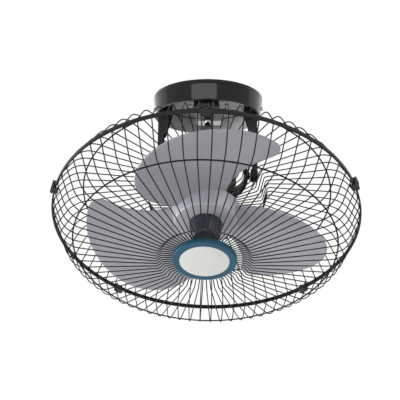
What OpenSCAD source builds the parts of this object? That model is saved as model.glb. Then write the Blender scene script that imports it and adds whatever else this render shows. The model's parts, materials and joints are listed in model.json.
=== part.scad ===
// Orbital ceiling fan: a tilted, caged fan head that swings round under a ceiling canopy.
// Millimetres, +Z up. The origin is the centre of the face that sits on the ceiling.
// At rest the head leans towards -Y. The yoke pins lie along X.
// The head is drawn in its own frame: origin at the gimbal centre, +Z forward to the badge,
// +X to the right, +Y on the raised side, and head_place() puts it under the ceiling.

/* [Layout] */
// Lean of the head from straight down, degrees
tilt = 28; // [15:1:30]
// Ceiling to the gimbal centre
gimbal_drop = 131; // [125:1:150]
// Gimbal centre to the plane of the hoops
hoop_ahead = 103; // [98:1:120]
// Gimbal centre to the centre of the drive ball
ball_rise = 94; // [90:1:98]

/* [Guard] */
// Outer radius of the hoops
hoop_r = 235; // [225:1:260]
// Height of one hoop band
hoop_h = 3.5; // [2:0.1:6]
// Thickness of the hoop bands
hoop_t = 2.6; // [1.5:0.1:5]
// Diameter of the radial wires
wire_d = 2; // [1.4:0.1:3]
// Number of radial wires on each guard
wires = 72; // [36:12:72]
// Diameter of the wires of the rings
ring_wire_d = 2.6; // [1.6:0.1:4]
// Depth of the rear guard at its shoulder corner
rear_depth = 53; // [50:0.5:60]
// Depth of the well floor behind the hoops
well_depth = 35; // [34:0.5:37]
// Radius of the rim of the well
well_r = 97; // [92:0.5:110]
// Bend radius of the rear shoulder
rear_bend = 50; // [20:1:50]
// Depth of the front guard at its shoulder corner
front_depth = 56.5; // [53.5:0.5:62]
// Bend radius of the front shoulder
front_bend = 53; // [20:1:53]
// Radius of the rim of the front dish
dish_r = 71.5; // [66:0.5:85]
// Step of the front dish
dish_step = 6.5; // [5:0.5:14]
// Radius of the middle ring of the front guard
mid_ring_r = 196; // [150:0.5:200]
// Radius of the outer ring of the rear guard
rear_ring_r = 194; // [182:0.5:200]

/* [Blade] */
// Radius swept by the blade tips
sweep_r = 200; // [180:1:205]
// Pitch of the blade, degrees
pitch = 13; // [8:0.5:15]
// Forward lean of the blade, degrees
rake = 9.7; // [5:0.1:11]
// Camber radius of the blade
camber_r = 420; // [300:10:900]
// Thickness of the blade
blade_t = 2.6; // [1.6:0.1:4]
// Radius of the rear rim of the hub
hub_r = 53.5; // [50:0.5:58]
// Radius of the blade nut
nut_r = 24; // [20:0.5:28]

/* [Motor] */
// Radius of the motor shell
motor_r = 47; // [44:0.5:47]
// Half length of the motor shell
motor_half = 34; // [30:0.5:34]
// Rounding of the shell ends
motor_round = 17; // [12:0.5:17]
// Wall of the motor shell
motor_wall = 2.5; // [1.5:0.1:4]
// Shaft radius
shaft_r = 4; // [3:0.5:5]

/* [Gimbal and yoke] */
// Inner radius of the gimbal ring
ring_in = 60; // [58.5:0.5:61]
// Outer radius of the gimbal ring
ring_out = 66; // [64:0.5:67]
// Height of the gimbal ring
ring_h = 14; // [10:0.5:18]
// Radius of the gimbal pins
pin_r = 4; // [3:0.5:5]
// Inner face of the yoke arms
arm_in = 70.5; // [70:0.5:72]
// Outer face of the yoke arms
arm_out = 81.5; // [80:0.5:82]
// Width of the yoke arms
arm_w = 24; // [18:1:24]
// Sheet thickness of the yoke
sheet = 2.5; // [1.5:0.1:3]

/* [Canopy] */
// Radius of the ceiling plate
plate_r = 90.4; // [90:0.1:100]
// Depth of the rim of the ceiling plate
plate_h = 6; // [5:0.5:8]
// Radius of the canopy at its lower rim
canopy_r = 86.2; // [86:0.1:95]
// Depth of the canopy below the ceiling
canopy_drop = 31.5; // [30:0.5:36]
// Wall of the canopy
canopy_wall = 1.3; // [1:0.1:2]
// Diameter of the bolt circle on the ceiling
bolt_circle = 120; // [110:1:130]
// Radius of the ceiling screw holes
bolt_hole_r = 2.75; // [2:0.25:4]

/* [Badge] */
// Radius of the badge ring
badge_r = 47.8; // [40:0.1:56]
// Radius of the badge plate
badge_plate_r = 37.4; // [30:0.1:39]

/* [Hidden] */
$fn = 96;

// Clearances
fit = 0.05;          // a fitted pair in one body
run = 0.1;           // a running fit
seat_gap = 0.02;     // pieces that lie on each other

// Guard, along the axis of the head
hoop_z = hoop_ahead;
wire_r = wire_d / 2;
ring_wire_r = ring_wire_d / 2;
wire_end_r = hoop_r - hoop_t - wire_r - seat_gap;
rear_z = hoop_z - rear_depth;
floor_z = hoop_z - well_depth;
rear_slope = 0.19;
guard_flat = 3;       // level length of wire after a shoulder's bend
rear_face_r = wire_end_r - rear_bend - guard_flat;
well_z = rear_z - rear_slope * (rear_face_r - well_r);
well_in = well_r - 8.5;
wire_in = 34;
kink_over = 0.04;     // how far the bend of a kink stands out of the wire
wire_fn = 24;
front_z = hoop_z + front_depth;
front_slope = 0.111;
face_r = wire_end_r - front_bend - guard_flat;
dish_z = front_z + front_slope * (face_r - dish_r);
dish_in = dish_r - 7;
dish_floor = dish_z - dish_step;
front_wire_in = 30;
wire_step = 360 / wires;
wire_phase = 0.8;
ring_off = wire_r + ring_wire_r + seat_gap;

// Five clips, each midway between the two wires nearest to its place
clip_places = [90, 156, 227, 315, 24];
clip_angles = [for (a = clip_places) wire_phase + (floor((a - wire_phase) / wire_step) + 0.5) * wire_step];
clip_len = 16;
clip_t = 2.6;
clip_axis_r = hoop_r + 2.4;
clip_axis_z = hoop_z - hoop_h - 3;
clip_pin_r = 0.8;
barrel_r = 1.9;
barrel_w = 7.6;
lug_w = 1.8;
hook_w = 12;
hook_lip = 1;

// Badge
badge_seat = 4;       // floor of the recess for the plate
plate_rise = 5.8;     // height of the plate at its middle
badge_h = 8;
badge_round = 2.6;    // of the rim of the badge ring
badge_dome = 300;     // radius of its face
badge_back_t = 1.6;
badge_screw_r = 2;

// Blade and hub
hub_back = floor_z + 4;
hub_front = hub_back + 29.5;
hub_front_r = hub_r - 5;
hub_wall = 2.4;
hub_boss_r = 12;
blade_mid_r = 120;
blade_mid_z = hoop_z - 11.5;
bulge_r = 85;
tip_r = 150;
blade_turn = 6;       // angle of the line on which the tip and bulge arcs are centred
edge_turn = 47.1;     // direction of the normal of the leading edge
edge_off = 14.6;      // distance of the leading edge from the axis
corner_r = 14;

// Motor
shell_gap = 0.05;     // each half of the shell off the split
shell_end_r = motor_r - motor_round;
shell_side = motor_half - motor_round;
motor_bolt_at = motor_r + 2.3;
bolt_r = 1.25;
bolt_lug_r = 2.6;
bolt_lug_h = 6;
stator_out = motor_r - motor_wall - 1.2;
stator_in = 25.4;
stator_h = 24;
rotor_r = 24.9;
bearing_r = 11;
bearing_h = 7;
bearing_z = 23;
neck_r = 20;
neck_end = floor_z - wire_r - seat_gap;
neck_wall = 3;
flange_r = 26;
flange_t = 4;
thread_r = 15.8;      // threaded end of the neck, for the lock nut
guard_plate_t = 1.6;
lock_nut_h = 6;
lock_nut_z = floor_z + wire_r + guard_plate_t + 2 * seat_gap;
pad_r = 8;
pad_end = 52;
pin_tip = 53.5;
gearbox_r = 21;
gearbox_end = motor_half + 22;

// Crank and ball
ball_r = 5.8;
ball_side = ball_rise * sin(tilt);
ball_back = ball_rise * cos(tilt);
crank_face = gearbox_end + 1.5;
crank_t = 6;
crank_w = 15;
stud_r = 3;
sleeve_r = 4.8;
output_r = 4;
output_depth = 12;
ball_z = -gimbal_drop + ball_rise;

// Base
strap_z = -plate_h - 0.5;
boss_r = 11;
plate_t = 1.6;        // sheet of the ceiling plate
rim_t = 1.5;          // its rim
rim_gap = 0.15;       // canopy inside that rim
strap_w = 30;
strap_screw_x = 30;
tab_x = 82.5;         // inner face of the tabs that take the canopy screws
tab_t = 2;
tab_w = 18;
tab_low = -23;
canopy_screw_z = -16.5;
canopy_head_r = 3.4;
arm_foot_x = 60;
arm_screw_x = 72;
arm_screw_y = 5;
screw_r = 2;
box_y = -55;
box_w = 40;
box_d = 16;
box_drop = 32;
box_wall = 2;
post_x = -8;          // screw post of the terminal box
gusset_drop = 62;
cable_y = -30;
cable_r = 9;

function unit(v) = v / norm(v);
// How far from the centre of a shoulder's bend b, along the axis, a ring of radius r lies against the wires
function shoulder_rise(r, b) = sqrt(pow(b - ring_off, 2) - pow(max(0, r - wire_end_r + b), 2));
function canopy_at(z) = plate_r - (plate_r - canopy_r) * (-z - plate_h) / (canopy_drop - plate_h);

module head_place() {
    translate([0, 0, -gimbal_drop]) rotate([180 - tilt, 0, 0]) children();
}

// A tube or ring with its foot at z = 0
module tube(ro, ri, h) {
    difference() {
        cylinder(h = h, r = ro);
        translate([0, 0, -1]) cylinder(h = h + 2, r = ri);
    }
}

module wire_ring(r, z, d) {
    translate([0, 0, z]) rotate_extrude() translate([r, 0]) circle(d = d);
}

// A pan-head screw: its head stands on z = 0 and its shank goes down
module screw(head_r, head_h, shank_r, shank_l) {
    difference() {
        cylinder(h = head_h, r = head_r);
        translate([-head_r * 0.6, -head_h * 0.15, head_h * 0.5]) cube([head_r * 1.2, head_h * 0.3, head_h]);
        translate([-head_h * 0.15, -head_r * 0.6, head_h * 0.5]) cube([head_h * 0.3, head_r * 1.2, head_h]);
    }
    translate([0, 0, -shank_l]) cylinder(h = shank_l + head_h * 0.4, r = shank_r);
}

// A straight length of wire between two points of the x-z plane
module rod(a, b, r) {
    u = unit(b - a);
    translate([a[0], 0, a[1]]) rotate([0, atan2(u[0], u[1]), 0])
        cylinder(h = norm(b - a), r = r, $fn = wire_fn);
}

// The rounded outside of a tight kink in a wire
module kink(a, r) {
    translate([a[0], 0, a[1]]) sphere(r = r + kink_over, $fn = wire_fn);
}

// A guard wire in the x-z plane through the points p: along the axis from the hoop, a quarter turn
// of radius b at p[1], level to p[2], then inwards with a kink at p[2] and each further point
module guard_wire(p, b, r) {
    s = sign(p[1][1] - p[0][1]);
    q0 = [p[0][0], p[1][1] - s * b];
    q1 = [p[0][0] - b, p[1][1]];
    rod(p[0], q0, r);
    translate([q1[0], 0, q0[1]]) rotate([90, 0, 0]) rotate([0, 0, s > 0 ? 0 : -90])
        rotate_extrude(angle = 90) translate([b, 0]) circle(r = r, $fn = wire_fn);
    rod(q1, p[2], r);
    for (i = [2 : len(p) - 2]) {
        kink(p[i], r);
        rod(p[i], p[i + 1], r);
    }
}

// ---------- base ----------

module ceiling_plate() {
    color("#1b1b1d") difference() {
        translate([0, 0, -plate_h]) cylinder(h = plate_h, r = plate_r);
        translate([0, 0, -plate_h - 1]) cylinder(h = plate_h + 1 - plate_t, r = plate_r - rim_t);
        for (a = [45 : 90 : 315]) rotate([0, 0, a]) translate([bolt_circle / 2, 0, -3])
            cylinder(h = 4, r = bolt_hole_r);
        translate([0, cable_y, -3]) cylinder(h = 4, r = cable_r);
        for (s = [-1, 1]) translate([s * strap_screw_x, 0, -3]) cylinder(h = 4, r = screw_r + fit);
    }
}

module canopy() {
    color("#151516") difference() {
        union() {
            translate([0, 0, -canopy_drop])
                cylinder(h = canopy_drop - plate_h - 0.4, r1 = canopy_r, r2 = plate_r);
            translate([0, 0, -plate_h - 1]) cylinder(h = 3.5, r = plate_r - rim_t - rim_gap);
        }
        translate([0, 0, -canopy_drop - 0.01]) cylinder(h = canopy_drop - plate_h - 0.3,
            r1 = canopy_r - canopy_wall, r2 = plate_r - canopy_wall - rim_t - rim_gap);
        translate([0, 0, -plate_h - 2]) cylinder(h = 6, r = plate_r - rim_t - rim_gap - canopy_wall);
        for (s = [-1, 1]) translate([s * canopy_at(canopy_screw_z), 0, canopy_screw_z]) rotate([0, 90, 0])
            translate([0, 0, -6]) cylinder(h = 12, r = screw_r + fit);
    }
}

module canopy_screws() {
    // the head stands on the canopy where that is widest under it
    seat = canopy_at(canopy_screw_z + canopy_head_r) + seat_gap;
    color("#3a3a3c") for (s = [-1, 1]) translate([s * seat, 0, canopy_screw_z])
        rotate([0, s * 90, 0]) screw(canopy_head_r, 1.8, screw_r, seat - tab_x + 0.3);
}

module crossbar() {
    color("#232325") difference() {
        union() {
            translate([-tab_x - tab_t, -strap_w / 2, strap_z - sheet])
                cube([2 * (tab_x + tab_t), strap_w, sheet]);
            for (s = [-1, 1]) translate([s * (tab_x + tab_t / 2) - tab_t / 2, -tab_w / 2, tab_low])
                cube([tab_t, tab_w, strap_z - tab_low]);
            // spacers under the ceiling plate
            for (s = [-1, 1]) translate([s * strap_screw_x, 0, strap_z - 1])
                tube(7, screw_r + fit, 1 - strap_z - plate_t - seat_gap);
        }
        for (s = [-1, 1]) translate([s * strap_screw_x, 0, strap_z - sheet - 1])
            cylinder(h = 20, r = screw_r + fit);
        for (s = [-1, 1], t = [-1, 1]) translate([s * arm_screw_x, t * arm_screw_y, strap_z - sheet - 1])
            cylinder(h = 20, r = screw_r + fit);
        for (s = [-1, 1]) translate([s * (tab_x + tab_t / 2), 0, canopy_screw_z]) rotate([0, 90, 0])
            translate([0, 0, -3]) cylinder(h = 6, r = screw_r + fit);
        translate([0, 0, strap_z - sheet - 1]) cylinder(h = 20, r = 4 + fit);
    }
}

module crossbar_screws() {
    color("#6d6d70") for (s = [-1, 1])
        translate([s * strap_screw_x, 0, strap_z - sheet - seat_gap]) rotate([180, 0, 0])
            screw(4, 2.2, screw_r, -strap_z + sheet - 0.3);
}

// One pressed arm: a channel, open towards the middle, with a wide gusset at its top
module yoke_arm(s) {
    top = strap_z - sheet - seat_gap;
    low = -gimbal_drop;
    mirror([s < 0 ? 1 : 0, 0, 0]) difference() {
        union() {
            // outer wall
            translate([arm_out - sheet, -arm_w / 2, low]) cube([sheet, arm_w, top - low]);
            // foot under the crossbar
            translate([arm_foot_x, -arm_w / 2, top - sheet]) cube([arm_out - arm_foot_x, arm_w, sheet]);
            // side walls
            for (y = [-arm_w / 2, arm_w / 2 - sheet]) translate([0, y + sheet, 0]) rotate([90, 0, 0])
                linear_extrude(sheet) polygon([[arm_out, top], [arm_foot_x, top], [arm_foot_x, -26],
                    [arm_in, -gusset_drop], [arm_in + 2.3, -gusset_drop - 1], [arm_in + 2.3, low],
                        [arm_out, low]]);
            // pivot boss
            translate([arm_in, 0, low]) rotate([0, 90, 0]) cylinder(h = arm_out - arm_in, r = boss_r);
        }
        translate([arm_in - 1, 0, low]) rotate([0, 90, 0]) cylinder(h = arm_out, r = pin_r + fit);
        for (t = [-1, 1]) translate([arm_screw_x, t * arm_screw_y, top - 5])
            cylinder(h = 10, r = screw_r + fit);
        // the foot of the side walls is rounded to the boss
        translate([arm_in - 1, -arm_w, low - 20]) cube([20, arm_w - boss_r, 20]);
        translate([arm_in - 1, boss_r, low - 20]) cube([20, arm_w, 20]);
    }
}

module yoke_arm_left() { color("#141415") yoke_arm(-1); }
module yoke_arm_right() { color("#141415") yoke_arm(1); }

module yoke_screws() {
    color("#6d6d70") for (s = [-1, 1], t = [-1, 1])
        translate([s * arm_screw_x, t * arm_screw_y, strap_z - 2 * sheet - 2 * seat_gap])
            rotate([180, 0, 0])
            screw(3.8, 2.2, screw_r, 2 * sheet + 3);
}

module yoke_pins() {
    color("#8a8c90") for (s = [-1, 1]) translate([0, 0, -gimbal_drop]) rotate([0, s * 90, 0]) {
        translate([0, 0, ring_in + 1.5]) cylinder(h = arm_out - ring_in, r = pin_r);
        translate([0, 0, arm_out + seat_gap]) cylinder(h = 2.2, r = 6.5);
    }
}

module pin_clips() {
    color("#55565a") for (s = [-1, 1]) translate([0, 0, -gimbal_drop]) rotate([0, s * 90, 0])
        translate([0, 0, arm_in - 0.62]) tube(6.2, pin_r + fit, 0.6);
}

// The cup over the drive ball, on a post through the crossbar
module ball_seat() {
    cup_r = ball_r + 0.2;
    color("#19191a") difference() {
        union() {
            translate([0, 0, ball_z]) sphere(r = cup_r + 2.2);
            translate([0, 0, ball_z]) cylinder(h = strap_z - sheet - seat_gap - ball_z, r = 5);
            translate([0, 0, strap_z - sheet - 3]) cylinder(h = 3 - seat_gap, r = 9);
            translate([0, 0, strap_z - sheet - 1]) cylinder(h = sheet + 5, r = 4);
        }
        translate([0, 0, ball_z]) sphere(r = cup_r);
        translate([0, 0, ball_z - 15 + 0.6]) cylinder(h = 15, r = 12);
    }
}

module seat_nut() {
    color("#77787c") translate([0, 0, strap_z + seat_gap]) difference() {
        cylinder(h = 3.2, r = 8, $fn = 6);
        translate([0, 0, -1]) cylinder(h = 6, r = 4 + fit);
    }
}

module terminal_box() {
    z1 = -plate_t - seat_gap;
    color("#101011") difference() {
        translate([-box_w / 2, box_y - box_d / 2, z1 - box_drop]) cube([box_w, box_d, box_drop]);
        translate([-box_w / 2 + box_wall, box_y - box_d / 2 + box_wall, z1 - box_drop - 1])
            cube([box_w - 2 * box_wall, box_d - 2 * box_wall, box_drop + 1 - box_wall]);
        translate([0, box_y + box_d / 2 - 3, z1 - 9]) rotate([-90, 0, 0]) cylinder(h = 6, r = 4);
    }
}

module terminal_lid() {
    z0 = -plate_t - 2 * seat_gap - box_drop;
    color("#0c0c0d") difference() {
        translate([-box_w / 2 - 1, box_y - box_d / 2 - 1, z0 - 2]) cube([box_w + 2, box_d + 2, 2]);
        translate([post_x, box_y, z0 - 3]) cylinder(h = 6, r = screw_r + fit);
    }
    color("#0c0c0d") translate([post_x, box_y, z0 - seat_gap]) tube(4, screw_r + fit, 12);
}

module terminal_screw() {
    color("#b9bbbf") translate([post_x, box_y, -plate_t - 3 * seat_gap - box_drop - 2]) rotate([180, 0, 0])
        screw(3.2, 1.6, screw_r, 12);
}

module capacitor() {
    color("#2b3442") translate([-22, 38, -plate_t - seat_gap - 22]) {
        cube([44, 24, 22]);
        translate([-5, 8, 19]) cube([54, 8, 3]);
    }
}

module cable_grommet() {
    color("#202020") translate([0, cable_y, -3.2]) difference() {
        union() {
            cylinder(h = 3.2 - 0.2, r = cable_r - fit);
            cylinder(h = 1.5, r = cable_r + 1.6);
        }
        translate([0, 0, -1]) cylinder(h = 6, r = cable_r - 3);
    }
}

// ---------- gimbal ring ----------

module gimbal_ring() {
    color("#161617") head_place() difference() {
        union() {
            translate([0, 0, -ring_h / 2]) cylinder(h = ring_h, r = ring_out);
            for (a = [0, 180]) rotate([0, 0, a]) rotate([0, 90, 0])
                cylinder(h = ring_out + 2.6, r = ring_h / 2 - 0.2);
        }
        translate([0, 0, -ring_h]) cylinder(h = 2 * ring_h, r = ring_in);
        rotate([0, 90, 0]) translate([0, 0, -100]) cylinder(h = 200, r = pin_r + 1.5);
        rotate([90, 0, 0]) translate([0, 0, -100]) cylinder(h = 200, r = pin_r + fit);
    }
}

module gimbal_bushes() {
    color("#d8d4c4") head_place() for (a = [0, 180]) rotate([0, 0, a]) rotate([0, 90, 0])
        translate([0, 0, ring_in + 1]) tube(pin_r + 1.5 - fit, pin_r + run, ring_out - ring_in + 2);
}

module cross_pins() {
    color("#8a8c90") head_place() for (a = [-90, 90]) rotate([a, 0, 0]) {
        translate([0, 0, pin_tip]) cylinder(h = ring_out - pin_tip + 0.6, r = pin_r);
        translate([0, 0, ring_out + seat_gap]) cylinder(h = 2.4, r = 6.2);
    }
}

// ---------- crank ----------

module crank_arm() {
    color("#5c5e62") head_place() translate([0, 0, -crank_face - crank_t]) difference() {
        union() {
            cylinder(h = crank_t, r = 9);
            translate([0, ball_side, 0]) cylinder(h = crank_t, r = crank_w / 2);
            translate([-crank_w / 2, 0, 0]) cube([crank_w, ball_side, crank_t]);
        }
        translate([0, 0, -1]) cylinder(h = crank_t + 2, r = output_r + fit);
        translate([0, ball_side, -1]) cylinder(h = crank_t + 2, r = stud_r + fit);
        translate([-30, 0, crank_t / 2]) rotate([0, 90, 0]) cylinder(h = 30, r = 1.5 + fit);
    }
}

// The slow shaft of the gearbox; it turns in the gearbox and the crank is clamped on it
module output_shaft() {
    color("#a9abb0") head_place() translate([0, 0, -crank_face - crank_t + 0.4])
        cylinder(h = crank_face + crank_t - gearbox_end + output_depth - 1, r = output_r);
}

module crank_screw() {
    color("#77787c") head_place() translate([-9 - seat_gap, 0, -crank_face - crank_t / 2])
        rotate([0, -90, 0])
        screw(2.6, 2, 1.5, 4.5);
}

module ball_stud() {
    color("#c9ccd1") head_place() translate([0, ball_side, 0]) {
        translate([0, 0, -ball_back]) sphere(r = ball_r);
        translate([0, 0, -ball_back]) cylinder(h = ball_back - crank_face + 2, r = stud_r);
        translate([0, 0, -crank_face + seat_gap]) cylinder(h = 2.6, r = 5);
    }
}

module stud_sleeve() {
    l = ball_back - crank_face - crank_t - 7.4;
    color("#0e0e0f") head_place() translate([0, ball_side, -crank_face - crank_t - seat_gap - l])
        tube(sleeve_r, stud_r + fit, l);
}

// ---------- head: motor ----------

// Half of the motor shell as a section, from the split to its flat end
module shell_section(w) {
    translate([0, 0]) square([motor_r - w, shell_side]);
    translate([motor_r - motor_round, shell_side]) intersection() {
        circle(r = motor_round - w);
        square(motor_round);
    }
    square([shell_end_r, motor_half - w]);
}

module shell_half() {
    difference() {
        union() {
            rotate_extrude() shell_section(0);
            for (a = [45 : 90 : 315]) rotate([0, 0, a]) {
                translate([motor_bolt_at, 0, 0]) cylinder(h = bolt_lug_h, r = bolt_lug_r);
                translate([motor_r - 2, 0.2 - bolt_lug_r, 0])
                    cube([motor_bolt_at - motor_r + 2, 2 * bolt_lug_r - 0.4, bolt_lug_h]);
            }
        }
        difference() {
            translate([0, 0, -0.01]) rotate_extrude() shell_section(motor_wall);
            translate([0, 0, bearing_z]) cylinder(h = 40, r = bearing_r + 2.5);
        }
        translate([0, 0, bearing_z - 1]) cylinder(h = bearing_h + 1.5, r = bearing_r + fit);
        cylinder(h = 60, r = shaft_r + 1.2);
        // cooling slots through the rounded end
        for (a = [7.5 : 15 : 359]) rotate([0, 0, a]) translate([30, -1.3, shell_side + 4])
            cube([20, 2.6, 30]);
        for (a = [45 : 90 : 315]) rotate([0, 0, a]) translate([motor_bolt_at, 0, -1])
            cylinder(h = 20, r = bolt_r + fit);
    }
}

module pads(z0, z1) {
    // bosses for the cross pins, cut at the split of the shell
    intersection() {
        difference() {
            rotate([90, 0, 0]) translate([0, 0, -pad_end]) cylinder(h = 2 * pad_end, r = pad_r);
            rotate([90, 0, 0]) translate([0, 0, -pad_end - 1])
                cylinder(h = 2 * pad_end + 2, r = pin_r + 0.3);
            translate([0, 0, -20]) cylinder(h = 40, r = motor_r - motor_wall / 2);
        }
        translate([-20, -60, z0]) cube([40, 120, z1 - z0]);
    }
}

module motor_rear_shell() {
    color("#131314") head_place() {
        translate([0, 0, -shell_gap]) mirror([0, 0, 1]) difference() {
            union() {
                shell_half();
                pads(0, pad_r + 1);
            }
            rotate([90, 0, 0]) translate([0, 0, -60]) cylinder(h = 120, r = pin_r + 0.3);
        }
    }
}

module motor_front_shell() {
    color("#131314") head_place() {
        translate([0, 0, shell_gap]) difference() {
            union() {
                shell_half();
                pads(0, pad_r + 1);
                translate([0, 0, motor_half - 1])
                    cylinder(h = neck_end - motor_half + 1 - shell_gap, r = neck_r);
                translate([0, 0, neck_end - flange_t]) cylinder(h = flange_t - shell_gap, r = flange_r);
                translate([0, 0, neck_end - 1])
                    cylinder(h = lock_nut_z + lock_nut_h - neck_end + 1, r = thread_r);
            }
            rotate([90, 0, 0]) translate([0, 0, -60]) cylinder(h = 120, r = pin_r + 0.3);
            translate([0, 0, bearing_z - 1]) cylinder(h = bearing_h + 1.5, r = bearing_r + fit);
            cylinder(h = 90, r = shaft_r + 1.2);
            // the neck is hollow, open to the inside of the motor
            translate([0, 0, motor_half - motor_wall - 1])
                tube(neck_r - neck_wall, bearing_r + 3.5, neck_end - motor_half - 4);
        }
    }
}

module motor_bolts() {
    color("#8a8c90") head_place() for (a = [45 : 90 : 315]) rotate([0, 0, a])
        translate([motor_bolt_at, 0, bolt_lug_h + 2 * shell_gap])
            screw(2.2, 1.5, bolt_r, 2 * bolt_lug_h - 0.5);
}

module stator_core() {
    color("#8f9297") head_place() translate([0, 0, -stator_h / 2]) difference() {
        cylinder(h = stator_h, r = stator_out);
        translate([0, 0, -1]) cylinder(h = stator_h + 2, r = stator_in);
        for (a = [0 : 22.5 : 359]) rotate([0, 0, a]) translate([28, -1.8, -1]) cube([9, 3.6, stator_h + 2]);
    }
    // three ribs carry the core in the shell
    color("#8f9297") head_place() for (a = [0 : 120 : 359]) rotate([0, 0, a])
        translate([stator_out - 0.5, -3, -6]) cube([motor_r - motor_wall - stator_out + 0.4, 6, 12]);
}

module stator_windings() {
    color("#a8612e") head_place() for (s = [-1, 1]) translate([0, 0, s * (stator_h / 2 + 4.05)])
        rotate_extrude() translate([32.5, 0]) circle(r = 4);
}

module bearing(z) {
    color("#b4b6ba") head_place() translate([0, 0, z]) difference() {
        cylinder(h = bearing_h, r = bearing_r);
        translate([0, 0, -1]) cylinder(h = bearing_h + 2, r = shaft_r + fit);
        translate([0, 0, -1]) tube(bearing_r - 2.5, shaft_r + 2, 1.5);
        translate([0, 0, bearing_h - 0.5]) tube(bearing_r - 2.5, shaft_r + 2, 2);
    }
}
module rear_bearing() { bearing(-bearing_z - bearing_h - 0.2); }
module front_bearing() { bearing(bearing_z + 0.2); }

module drive_gearbox() {
    color("#1f2022") head_place() {
        difference() {
            translate([0, 0, -gearbox_end]) cylinder(h = gearbox_end - motor_half - 0.1, r = gearbox_r);
            translate([0, 0, -gearbox_end - 1]) cylinder(h = output_depth + 1, r = output_r + run);
        }
        for (a = [0, 180]) rotate([0, 0, a]) translate([0, 0, -motor_half - 3.1]) difference() {
            union() {
                translate([0, -4, 0]) cube([25.5, 8, 3]);
                translate([25.5, 0, 0]) cylinder(h = 3, r = 4);
            }
            translate([25.5, 0, -1]) cylinder(h = 5, r = 1.5 + fit);
        }
    }
}

module gearbox_screws() {
    color("#77787c") head_place() for (a = [0, 180]) rotate([0, 0, a])
        translate([25.5, 0, -motor_half - 3.12]) rotate([180, 0, 0]) screw(2.8, 1.8, 1.5, 3.0);
}

// ---------- head: guards ----------

module hoop(z0, z1) {
    translate([0, 0, z0]) tube(hoop_r, hoop_r - hoop_t, z1 - z0);
}
module rear_hoop() { color("#121213") head_place() hoop(hoop_z - hoop_h, hoop_z - 0.02); }
module front_hoop() { color("#121213") head_place() hoop(hoop_z + 0.02, hoop_z + hoop_h); }

module rear_guard_wires() {
    color("#161617") head_place() for (k = [0 : wires - 1]) rotate([0, 0, wire_phase + k * wire_step])
        guard_wire([[wire_end_r, hoop_z - 0.2], [wire_end_r, rear_z], [rear_face_r, rear_z],
            [well_r, well_z],
            [well_in, floor_z], [wire_in, floor_z]], rear_bend, wire_r);
}

module rear_guard_rings() {
    wall = unit([well_in - well_r, floor_z - well_z]);
    color("#161617") head_place() {
        wire_ring(rear_ring_r, rear_z + rear_bend - shoulder_rise(rear_ring_r, rear_bend), ring_wire_d);
        // on the wall of the well
        wire_ring((well_r + well_in) / 2 + ring_off * wall[1],
            (well_z + floor_z) / 2 - ring_off * wall[0], ring_wire_d);
        wire_ring(hub_r + 4.7, floor_z - ring_off, ring_wire_d);
    }
}

module guard_plate() {
    color("#1a1a1b") head_place() {
        translate([0, 0, floor_z + wire_r + seat_gap]) tube(hub_r - 4, thread_r + 0.2, guard_plate_t);
        // seat between the ends of the wires
        translate([0, 0, neck_end + seat_gap])
            tube(flange_r - 1, thread_r + 0.2, floor_z + wire_r - neck_end + 0.5);
    }
}

module guard_lock_nut() {
    color("#0f0f10") head_place() translate([0, 0, lock_nut_z]) difference() {
        cylinder(h = lock_nut_h, r = flange_r);
        translate([0, 0, -1]) cylinder(h = lock_nut_h + 2, r = thread_r + fit);
        for (a = [0 : 30 : 359]) rotate([0, 0, a]) translate([flange_r + 0.8, 0, -1])
            cylinder(h = lock_nut_h + 2, r = 2.4);
    }
}

module front_guard_wires() {
    color("#161617") head_place() for (k = [0 : wires - 1]) rotate([0, 0, wire_phase + k * wire_step])
        guard_wire([[wire_end_r, hoop_z + 0.2], [wire_end_r, front_z], [face_r, front_z], [dish_r, dish_z],
            [dish_in, dish_floor], [front_wire_in, dish_floor]], front_bend, wire_r);
}

module front_guard_rings() {
    color("#161617") head_place() {
        wire_ring(mid_ring_r, front_z - front_bend + shoulder_rise(mid_ring_r, front_bend), ring_wire_d);
        wire_ring(dish_in - 1.5, dish_floor - ring_off, ring_wire_d);
        wire_ring(badge_r - 6, dish_floor - ring_off, ring_wire_d);
    }
}

module badge_back() {
    color("#1d1d1f") head_place() {
        translate([0, 0, dish_floor - wire_r - seat_gap - badge_back_t])
            tube(badge_r - 8.5, badge_screw_r + fit, badge_back_t);
        // a sleeve between the ends of the wires
        translate([0, 0, dish_floor - wire_r - seat_gap - 0.5]) tube(12, 6, 2 * wire_r + 0.5);
    }
}

module badge_screw() {
    back = wire_r + badge_back_t + 2 * seat_gap;
    color("#8a8c90") head_place() translate([0, 0, dish_floor - back]) rotate([180, 0, 0])
        screw(4, 2.4, badge_screw_r, back + wire_r + badge_seat - 0.4);
}

module badge_ring() {
    z = dish_floor + wire_r + seat_gap;
    color("#2f5f80") head_place() translate([0, 0, z]) rotate_extrude() difference() {
        union() {
            square([badge_r, badge_h - badge_round]);
            square([badge_r - badge_round, badge_h]);
            translate([badge_r - badge_round, badge_h - badge_round]) circle(r = badge_round);
        }
        translate([-1, badge_seat]) square([badge_plate_r + 0.1 + 1, 10]);
        translate([-1, -1]) square([badge_screw_r + fit + 1, 12]);
    }
}

module badge_plate() {
    z = dish_floor + wire_r + 2 * seat_gap + badge_seat;
    color("#e6e4e0") head_place() translate([0, 0, z]) rotate_extrude() intersection() {
        square([badge_plate_r, plate_rise + 1]);
        translate([0, plate_rise - badge_dome]) circle(r = badge_dome, $fn = 720);
    }
}

// ---------- head: clips ----------

module at_clip(k) { rotate([0, 0, clip_angles[k]]) children(); }

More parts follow.
